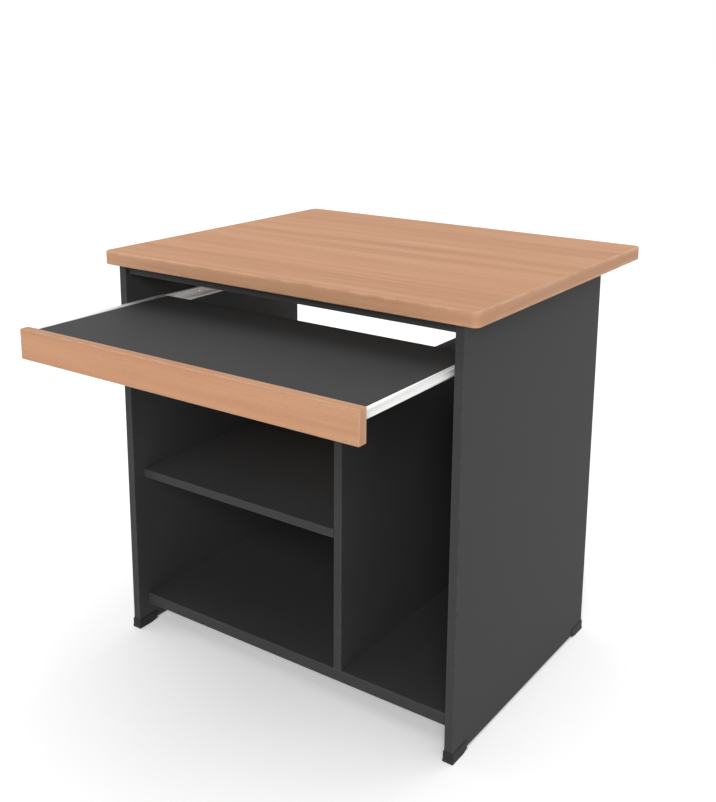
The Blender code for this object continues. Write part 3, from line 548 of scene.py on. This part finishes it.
def rounded_rectangle(low, high, radius, steps):
    """Points and outward ways round a rectangle, from its far side's middle, where a band's ends meet."""
    centres = [((low[0] + radius, high[1] - radius), 90), ((low[0] + radius, low[1] + radius), 180),
               ((high[0] - radius, low[1] + radius), 270), ((high[0] - radius, high[1] - radius), 0)]
    outline = [(Vector(((low[0] + high[0]) / 2, high[1])), Vector((0, 1)))]
    for centre, start in centres:
        for step in range(steps + 1):
            turn = math.radians(start + 90 * step / steps)
            way = Vector((math.cos(turn), math.sin(turn)))
            outline.append((Vector(centre) + way * radius, way))
    return outline


def band_profile(near, far, thickness, rounding):
    """A band's section as (inset, depth, arris) points, with round outer arrises."""
    section = []
    # An arris mark of 1 on the round outer arrises gives the edging pale wear with a painted highlight
    for step in range(BAND_STEPS + 1):
        turn = math.pi / 2 * step / BAND_STEPS
        section.append((rounding * (1 - math.sin(turn)), near + rounding * (1 - math.cos(turn)), 1.0))
    section.append((0.0, near + rounding + PALE_ARRIS_WIDTH, 0.0))
    mirrored = [(inset, near + far - depth, arris) for inset, depth, arris in reversed(section)]
    return section + mirrored + [(thickness, far, BAND_INNER_WEAR_AND_HIGHLIGHT), (thickness, near, BAND_INNER_WEAR_AND_HIGHLIGHT)]


def edge_band(name, outline, section, turn):
    """A band swept round an outline, with a map of metres along it and across it."""
    shape = bmesh.new()
    arris = shape.verts.layers.float.new("arris")
    ways = shape.loops.layers.uv.new("run")
    rings = []
    for point, way in outline:
        ring = []
        for inset, depth, arris_paled in section:
            place = point - way * inset
            vertex = shape.verts.new(turn @ Vector((place.x, place.y, depth)))
            vertex[arris] = arris_paled
            ring.append(vertex)
        rings.append(ring)
    along = [0.0]
    points = [point for point, way in outline]
    for first, second in zip(points, points[1:] + points[:1]):
        along.append(along[-1] + (second - first).length)
    across = [0.0]
    for first, second in zip(section, section[1:] + section[:1]):
        across.append(across[-1] + math.hypot(second[0] - first[0], second[1] - first[1]))
    for step, ring in enumerate(rings):
        following = rings[(step + 1) % len(rings)]
        for row in range(len(section)):
            above = (row + 1) % len(section)
            face = shape.faces.new((ring[row], ring[above], following[above], following[row]))
            corners = [(along[step], across[row]), (along[step], across[row + 1]),
                       (along[step + 1], across[row + 1]), (along[step + 1], across[row])]
            for loop, corner in zip(face.loops, corners):
                loop[ways].uv = corner
    mesh = mesh_from(name, shape)
    mesh.shade_smooth()
    mesh.set_sharp_from_angle(angle=math.radians(SHARP_ANGLE))
    return mesh


def laminate_slab(outline, inset, near, far, turn):
    """The laminated board inside a band, with a hairline arris."""
    shape = bmesh.new()
    rim = [shape.verts.new((*(point - way * inset), near)) for point, way in outline]
    face = shape.faces.new(rim)
    raised = bmesh.ops.extrude_face_region(shape, geom=[face])["geom"]
    upper = [part for part in raised if isinstance(part, bmesh.types.BMVert)]
    bmesh.ops.translate(shape, verts=upper, vec=(0, 0, far - near))
    shape.edges.ensure_lookup_table()
    rims = [edge for edge in shape.edges if abs(edge.verts[0].co.z - edge.verts[1].co.z) < LEVEL_LIMIT]
    bmesh.ops.bevel(shape, geom=rims, offset=LAMINATE_ARRIS, offset_type="OFFSET", segments=1,
                    profile=ROUND_PROFILE, affect="EDGES", clamp_overlap=True)
    shape.transform(turn)
    return shape


def banded_board(board, band, body, finishes, radius, thickness, rounding, turn):
    """A laminated board and its edge band. The turn takes (across, up, depth) into the desk's frame."""
    laminate, edging = finishes
    back = turn.inverted()
    corners = [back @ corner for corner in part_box(band)]
    low = Vector(map(min, *corners))
    high = Vector(map(max, *corners))
    outline = rounded_rectangle(low, high, radius, CORNER_STEPS)
    section = band_profile(low.z, high.z, thickness, rounding)
    strip = edge_band(f"{band}_strip", outline, section, turn)
    settle(f"{band}_strip", strip, [edging], body, [band])
    slab = laminate_slab(outline, thickness + BAND_SEAM, low.z, high.z, turn)
    sheet = carved(f"{board}_laminate", slab)
    settle(f"{board}_laminate", sheet, [laminate], body, [board])


def smooth_copy(node, body, finish):
    """A CAD node's shape with its round faces shaded smooth."""
    shape = bmesh.new()
    shape.from_mesh(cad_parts[node].data)
    bmesh.ops.remove_doubles(shape, verts=shape.verts, dist=NODE_WELD)
    mesh = mesh_from(f"{node}_metal", shape)
    mesh.shade_smooth()
    mesh.set_sharp_from_angle(angle=math.radians(METAL_SHARP_ANGLE))
    settle(f"{node}_metal", mesh, [finish], body, [node])


def roller(node, body, finish):
    """A moulded roller: dished sides, a round hub, a crowned tread and three gate marks in each side."""
    low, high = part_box(node)
    centre = (low + high) / 2
    half = (high.x - low.x) / 2
    radius = (high.z - low.z) / 2
    rim = radius - ROLLER_RIM
    dish = half - ROLLER_DISH
    soft = ROLLER_SOFT
    one_side = [(half - soft, ROLLER_BORE), (half, ROLLER_BORE + soft), (half, ROLLER_HUB - soft),
                (half - soft, ROLLER_HUB), (dish + soft, ROLLER_HUB + soft), (dish, ROLLER_HUB + 2 * soft),
                (dish, rim - 2 * soft), (dish + soft, rim - soft), (half - soft, rim), (half, rim + soft),
                (half, radius - 3 * soft), (half - soft, radius - soft), (half - 4 * soft, radius)]
    other_side = [(-along, distance) for along, distance in reversed(one_side)]
    wheel = turned(one_side + other_side, ROLLER_SIDES, closed=True)
    ring = (ROLLER_HUB + rim) / 2
    start = dish - MARK_DEPTH
    profile = [(start, 0), (start, MARK_RADIUS), (half, MARK_RADIUS), (half, 0)]
    marks = []
    for side in (-1, 1):
        for number in range(MARK_COUNT):
            turn = math.radians(90 + 360 / MARK_COUNT * number)
            point = (0, ring * math.cos(turn), ring * math.sin(turn))
            marks.append(aimed(turned(profile, MARK_SIDES), point, (side, 0, 0)))
    mesh = carved(f"{node}_wheel", wheel, marks)
    mesh.transform(Matrix.Translation(centre))
    settle(f"{node}_wheel", mesh, [finish], body, [node])


def foot_cap(node, panel, finish):
    """A moulded cap: a sole, walls a little inside it that clip round the panel, and a slope at one end."""
    low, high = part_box(node)
    panel_low, panel_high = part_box(panel)
    step = Vector((FOOT_STEP, FOOT_STEP, 0))
    walls = rounded_box(low + step, high - step, FOOT_ROUND, FOOT_WALL_SEGMENTS)
    sole_high = (high.x, high.y, low.z + FOOT_SOLE)
    sole = rounded_box(low, sole_high, FOOT_ROUND / 2, FOOT_SOLE_SEGMENTS)
    body = carved(f"{node}_body", walls, [sole], "UNION")
    solid = bmesh.new()
    solid.from_mesh(body)
    bpy.data.meshes.remove(body)
    if abs(low.y - panel_low.y) < abs(high.y - panel_high.y):
        inward, ends = 1, (panel_low.y - BORE_GAP, high.y + FOOT_OVERCUT)
        start = high.y - FOOT_RAMP
    else:
        inward, ends = -1, (low.y - FOOT_OVERCUT, panel_high.y + BORE_GAP)
        start = low.y + FOOT_RAMP
    pocket = rounded_box((panel_low.x - BORE_GAP, ends[0], low.z + FOOT_SOLE),
                         (panel_high.x + BORE_GAP, ends[1], high.z + FOOT_OVERCUT), CUTTER_ROUND, 1)
    reach = sorted((0, 2 * inward * FOOT_RAMP))
    ramp = rounded_box((low.x - FOOT_OVERCUT, reach[0], -FOOT_OVERCUT),
                       (high.x + FOOT_OVERCUT, reach[1], 0), CUTTER_ROUND, 1)
    tilt = Matrix.Rotation(inward * math.atan2(FOOT_RISE, FOOT_RAMP), 4, "X")
    ramp.transform(Matrix.Translation((0, start, low.z)) @ tilt)
    mesh = carved(f"{node}_moulding", solid, [pocket, ramp])
    settle(f"{node}_moulding", mesh, [finish], "frame", [node])


def screw_head():
    """A low pan head one unit across, with a cross recess, standing on Z = 0 towards +Z."""
    head = turned(SCREW_PATTERN, SCREW_PATTERN_SIDES)
    tools = []
    for turn in (0, 90):
        blade = rounded_box((RECESS_FLOOR, -RECESS_REACH, -RECESS_HALF_WIDTH),
                            (RECESS_TOP, RECESS_REACH, RECESS_HALF_WIDTH), RECESS_ROUND, 1)
        blade.transform(Matrix.Rotation(math.radians(turn), 4, "X"))
        tools.append(blade)
    mesh = carved("screw_head", head, tools)
    mesh.transform(Matrix.Rotation(-math.pi / 2, 4, "Y"))
    return mesh


def screw_tree():
    """Nodes that set a screw on each point of a mesh, facing the way that the point's aim gives."""
    tree = bpy.data.node_groups.new("set_screws", "GeometryNodeTree")
    interface = tree.interface
    interface.new_socket("Geometry", in_out="INPUT", socket_type="NodeSocketGeometry")
    for name, kind in (("Screw", "Object"), ("Head Diameter", "Float"), ("Head Height", "Float"),
                       ("Finish", "Material")):
        interface.new_socket(name, in_out="INPUT", socket_type="NodeSocket" + kind)
    interface.new_socket("Geometry", in_out="OUTPUT", socket_type="NodeSocketGeometry")

    def add(kind, settings=None, sockets=None):
        node = tree.nodes.new(kind)
        for name, value in (settings or {}).items():
            setattr(node, name, value)
        for name, value in (sockets or {}).items():
            if isinstance(value, bpy.types.NodeSocket):
                tree.links.new(value, node.inputs[name])
            else:
                node.inputs[name].default_value = value
        return node

    given = add("NodeGroupInput").outputs
    diameter, height = given["Head Diameter"], given["Head Height"]
    aim = add("GeometryNodeInputNamedAttribute", {"data_type": "FLOAT_VECTOR"}, {"Name": "aim"}).outputs[0]
    facing = add("FunctionNodeAlignRotationToVector", {"axis": "Z"}, {"Vector": aim}).outputs[0]
    rise = add("ShaderNodeMath", {"operation": "DIVIDE"}, {0: height, 1: SCREW_PATTERN_HEIGHT}).outputs[0]
    size = add("ShaderNodeCombineXYZ", sockets={0: diameter, 1: diameter, 2: rise}).outputs[0]
    screw = add("GeometryNodeObjectInfo", sockets={"Object": given["Screw"]}).outputs["Geometry"]
    placed = add("GeometryNodeInstanceOnPoints", sockets={"Points": given["Geometry"], "Instance": screw,
                                                          "Rotation": facing, "Scale": size}).outputs[0]
    real = add("GeometryNodeRealizeInstances", sockets={"Geometry": placed}).outputs[0]
    coat = given["Finish"]
    faced = add("GeometryNodeSetMaterial", sockets={"Geometry": real, "Material": coat}).outputs[0]
    add("NodeGroupOutput", sockets={"Geometry": faced})
    return tree


def set_screws(name, places, head, diameter, height, tree, finish, body):
    """Screw heads at (point, way) places, as one plain mesh that moves with a body."""
    seats = bpy.data.meshes.new(name)
    seats.from_pydata([point for point, way in places], [], [])
    aims = seats.attributes.new("aim", "FLOAT_VECTOR", "POINT")
    for item, (point, way) in zip(aims.data, places):
        item.vector = way
    holder = new_object(name, seats)
    modifier = holder.modifiers.new("screws", "NODES")
    modifier.node_group = tree
    inputs = {"Screw": head, "Head Diameter": diameter, "Head Height": height, "Finish": finish}
    for item in tree.interface.items_tree:
        if item.item_type == "SOCKET" and item.in_out == "INPUT" and item.name in inputs:
            modifier[item.identifier] = inputs[item.name]
    mesh = evaluated_mesh(holder)
    settle(name, mesh, [finish], body)


def rail_screw_places(low, high):
    """Where the screws of a rail are along Y."""
    run = high.y - low.y - 2 * RAIL_SCREW_MARGIN
    return [low.y + RAIL_SCREW_MARGIN + run * share for share in RAIL_SCREW_SHARES]


def slide_screws(finish):
    """Screws through the slides' holes: three in each cabinet rail and three under each tray rail."""
    head = new_object("screw_pattern", screw_head())
    tree = screw_tree()
    web, ledge = [], []
    for side, inward in SIDES:
        low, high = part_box(f"cabinet_rail_{side}")
        face = (low.x if inward > 0 else high.x) + inward * RAIL_SHEET
        level = middle_of(f"rear_roller_{side}").z
        web += [((face, along, level), (inward, 0, 0)) for along in rail_screw_places(low, high)]
        low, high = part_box(f"tray_rail_{side}")
        row = (high.x if inward > 0 else low.x) - inward * LEDGE_SCREW_INSET
        ledge += [((row, along, low.z), (0, 0, -1)) for along in rail_screw_places(low, high)]
    set_screws("cabinet_rail_screws", web, head, WEB_SCREW_DIAMETER, WEB_SCREW_HEIGHT, tree, finish,
               "frame")
    set_screws("tray_rail_screws", ledge, head, LEDGE_SCREW_DIAMETER, LEDGE_SCREW_HEIGHT, tree, finish,
               "tray")
    bpy.data.objects.remove(head, do_unlink=True)


def place_camera():
    """The camera of the picture. Its lens is shifted, so that the axis meets the frame above the middle."""
    turn, dip, roll = (math.radians(angle) for angle in (CAMERA_TURN, CAMERA_DIP, CAMERA_ROLL))
    ahead = Vector((-math.sin(turn) * math.cos(dip), math.cos(turn) * math.cos(dip), -math.sin(dip)))
    level = Vector((math.cos(turn), math.sin(turn), 0))
    upward = level.cross(ahead)
    right = level * math.cos(roll) + upward * math.sin(roll)
    up = upward * math.cos(roll) - level * math.sin(roll)
    lens = bpy.data.cameras.new("camera")
    lens.sensor_width = SENSOR_WIDTH
    lens.lens = FOCAL_PIXELS * SENSOR_WIDTH / FRAME_HEIGHT
    lens.shift_y = (AXIS_ROW - FRAME_HEIGHT / 2) / FRAME_HEIGHT
    camera = new_object("camera", lens)
    aim = Matrix((right, up, -ahead)).transposed().to_4x4()
    camera.matrix_world = Matrix.Translation(CAMERA_PLACE) @ aim
    bpy.context.scene.camera = camera


def add_lamp(name, level, spread, source):
    """A far, broad lamp that shines from the way of its source."""
    lamp = bpy.data.lights.new(name, "SUN")
    lamp.energy = level
    lamp.angle = math.radians(spread)
    holder = new_object(name, lamp)
    holder.rotation_euler = Vector(source).to_track_quat("Z", "Y").to_euler()


def seen_rays(finish):
    """1 for rays that show the background: straight from the camera, mirrored or through glass."""
    path = finish.add("LightPath").socket.node
    camera, glossy, through = (Field(finish, path.outputs[name]) for name in
                               ("Is Camera Ray", "Is Glossy Ray", "Is Transmission Ray"))
    return (camera + glossy + through).between(0.0, 0.5)


def light_studio():
    """A white surround with even light from all round, and soft lamps."""
    world = bpy.data.worlds.new("studio")
    bpy.context.scene.world = world
    sky = Finish(world)
    light = sky.add("Background", sockets={"Color": WHITE, "Strength": SKY_LEVEL})
    white = sky.add("Background", sockets={"Color": WHITE, "Strength": 1.0})
    mixed = sky.add("MixShader", sockets={0: seen_rays(sky), 1: light, 2: white})
    sky.add("OutputWorld", sockets={"Surface": mixed})
    for lamp in LAMPS:
        add_lamp(*lamp)


def lay_floor():
    """A pale floor that keeps the shadow."""
    ground = Finish("floor")
    tone = (FLOOR_TONE, FLOOR_TONE, FLOOR_TONE, 1.0)
    matt = ground.add("BsdfDiffuse", sockets={"Color": tone})
    lift = ground.add("Emission", sockets={"Color": WHITE, "Strength": FLOOR_LIFT})
    lifted = ground.add("AddShader", sockets={0: matt, 1: lift})
    shown = ground.add("MixShader", sockets={0: seen_rays(ground), 1: matt, 2: lifted})
    ground.add("OutputMaterial", sockets={"Surface": shown})
    shape = bmesh.new()
    bmesh.ops.create_grid(shape, x_segments=1, y_segments=1, size=FLOOR_REACH)
    floor = new_object("floor", mesh_from("floor", shape))
    floor.location.z = -FLOOR_DROP
    floor.data.materials.append(ground.owner)


def dress_boards(wood, charcoal, foot, cover):
    """The top, the tray's board and strip, the dark boards, and the feet and covers of the side panels."""
    flat = Matrix()
    # Across runs to -X, up to -Z and depth to +Y, so the ends of the strip's band meet underneath
    upright = Matrix(((-1, 0, 0, 0), (0, 0, 1, 0), (0, -1, 0, 0), (0, 0, 0, 1)))
    banded_board("desk_top", "top_edge_band", "frame", wood, TOP_CORNER_RADIUS, TOP_BAND,
                 TOP_BAND_ROUND, flat)
    banded_board("tray_front", "tray_front_edge_band", "tray", wood, STRIP_CORNER_RADIUS, STRIP_BAND,
                 STRIP_BAND_ROUND, upright)
    for side, inward in SIDES:
        panel = f"side_panel_{side}"
        bores = [cam_bore(f"cam_top_{end}_{side}", panel, (inward, 0, 0)) for end in ENDS]
        dark_board(panel, "frame", charcoal, bores)
        for end in ENDS:
            foot_cap(f"foot_cap_{end}_{side}", panel, foot)
            cam_cover(f"cam_top_{end}_{side}", panel, (inward, 0, 0), cover)
    below, behind = (0, 0, -1), (0, 1, 0)
    shelf_bores, back_bores = [], []
    for end in ENDS:
        shelf_bores += [cam_bore(f"cam_shelf_{end}_{side}", "bottom_shelf", below) for side, inward in SIDES]
    for end in ENDS:
        shelf_bores.append(screw_bore(f"divider_screw_bottom_{end}", "bottom_shelf", below))
    for end in ("lower", "upper"):
        back_bores += [cam_bore(f"cam_back_{end}_{side}", "back_panel", behind) for side, inward in SIDES]
    for end in ("lower", "upper"):
        back_bores.append(screw_bore(f"divider_screw_back_{end}", "back_panel", behind))
    dark_board("bottom_shelf", "frame", charcoal, shelf_bores)
    dark_board("back_panel", "frame", charcoal, back_bores)
    dark_board("middle_shelf", "frame", charcoal)
    dark_board("divider", "frame", charcoal)
    dark_board("tray_board", "tray", charcoal)
    top_front_rail(charcoal)


def dress_slides(white, nylon, steel):
    """The rails of the slides with their rollers and axles."""
    for side, inward in SIDES:
        smooth_copy(f"cabinet_rail_{side}", "frame", white)
        smooth_copy(f"tray_rail_{side}", "tray", white)
        for end, carrier in (("front", "frame"), ("rear", "tray")):
            roller(f"{end}_roller_{side}", f"{end}_roller_{side}", nylon)
            smooth_copy(f"{end}_axle_{side}", carrier, steel)


def dress_fittings(zinc, steel):
    """The cams, their bolts, the connecting screws and the shelf supports."""
    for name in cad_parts:
        if name.startswith("cam_") and not name.startswith("cam_bolt_"):
            smooth_copy(name, "frame", zinc)
        elif name.startswith(("cam_bolt_", "divider_screw_", "shelf_support_")):
            smooth_copy(name, "frame", steel)


def dress_desk():
    """Makes the finishes, and then every piece of the desk in its own finish."""
    # The colours of a wood are its dark, middle and light tones, and its pores
    beech = (srgb(173, 127, 96), srgb(188, 142, 109), srgb(200, 155, 122), srgb(138, 94, 67))
    edge = (srgb(171, 127, 98), srgb(185, 141, 110), srgb(196, 154, 123), srgb(140, 97, 70))
    wood = [wood_finish("beech_laminate", "Object", along=0, colours=beech),
            wood_finish("beech_edging", "UV", along=0, colours=edge)]
    charcoal = [melamine_finish("charcoal_melamine", (0.0440, 0.0440, 0.0445), roughness=0.66),
                melamine_finish("charcoal_edging", (0.040, 0.040, 0.0405), roughness=0.60)]
    white = coated_steel_finish()
    nylon = nylon_finish()
    steel = metal_finish("bright_steel", (0.50, 0.50, 0.49), (0.66, 0.66, 0.65), roughness=0.22,
                         cells=(900.0, 900.0, 900.0))
    zinc = metal_finish("cast_zinc", (0.40, 0.40, 0.41), (0.52, 0.52, 0.53), roughness=0.38,
                        cells=(500.0, 500.0, 500.0))
    foot = moulded_finish("foot_plastic", srgb(27, 27, 28), srgb(34, 34, 35))
    cover = moulded_finish("cover_plastic", srgb(44, 44, 45), srgb(52, 52, 53))
    dress_boards(wood, charcoal, foot, cover)
    dress_slides(white, nylon, steel)
    dress_fittings(zinc, steel)
    slide_screws(steel)


place_camera()
light_studio()
lay_floor()
dress_desk()
bpy.context.scene.view_settings.view_transform = "Standard"
bpy.context.view_layer.update()
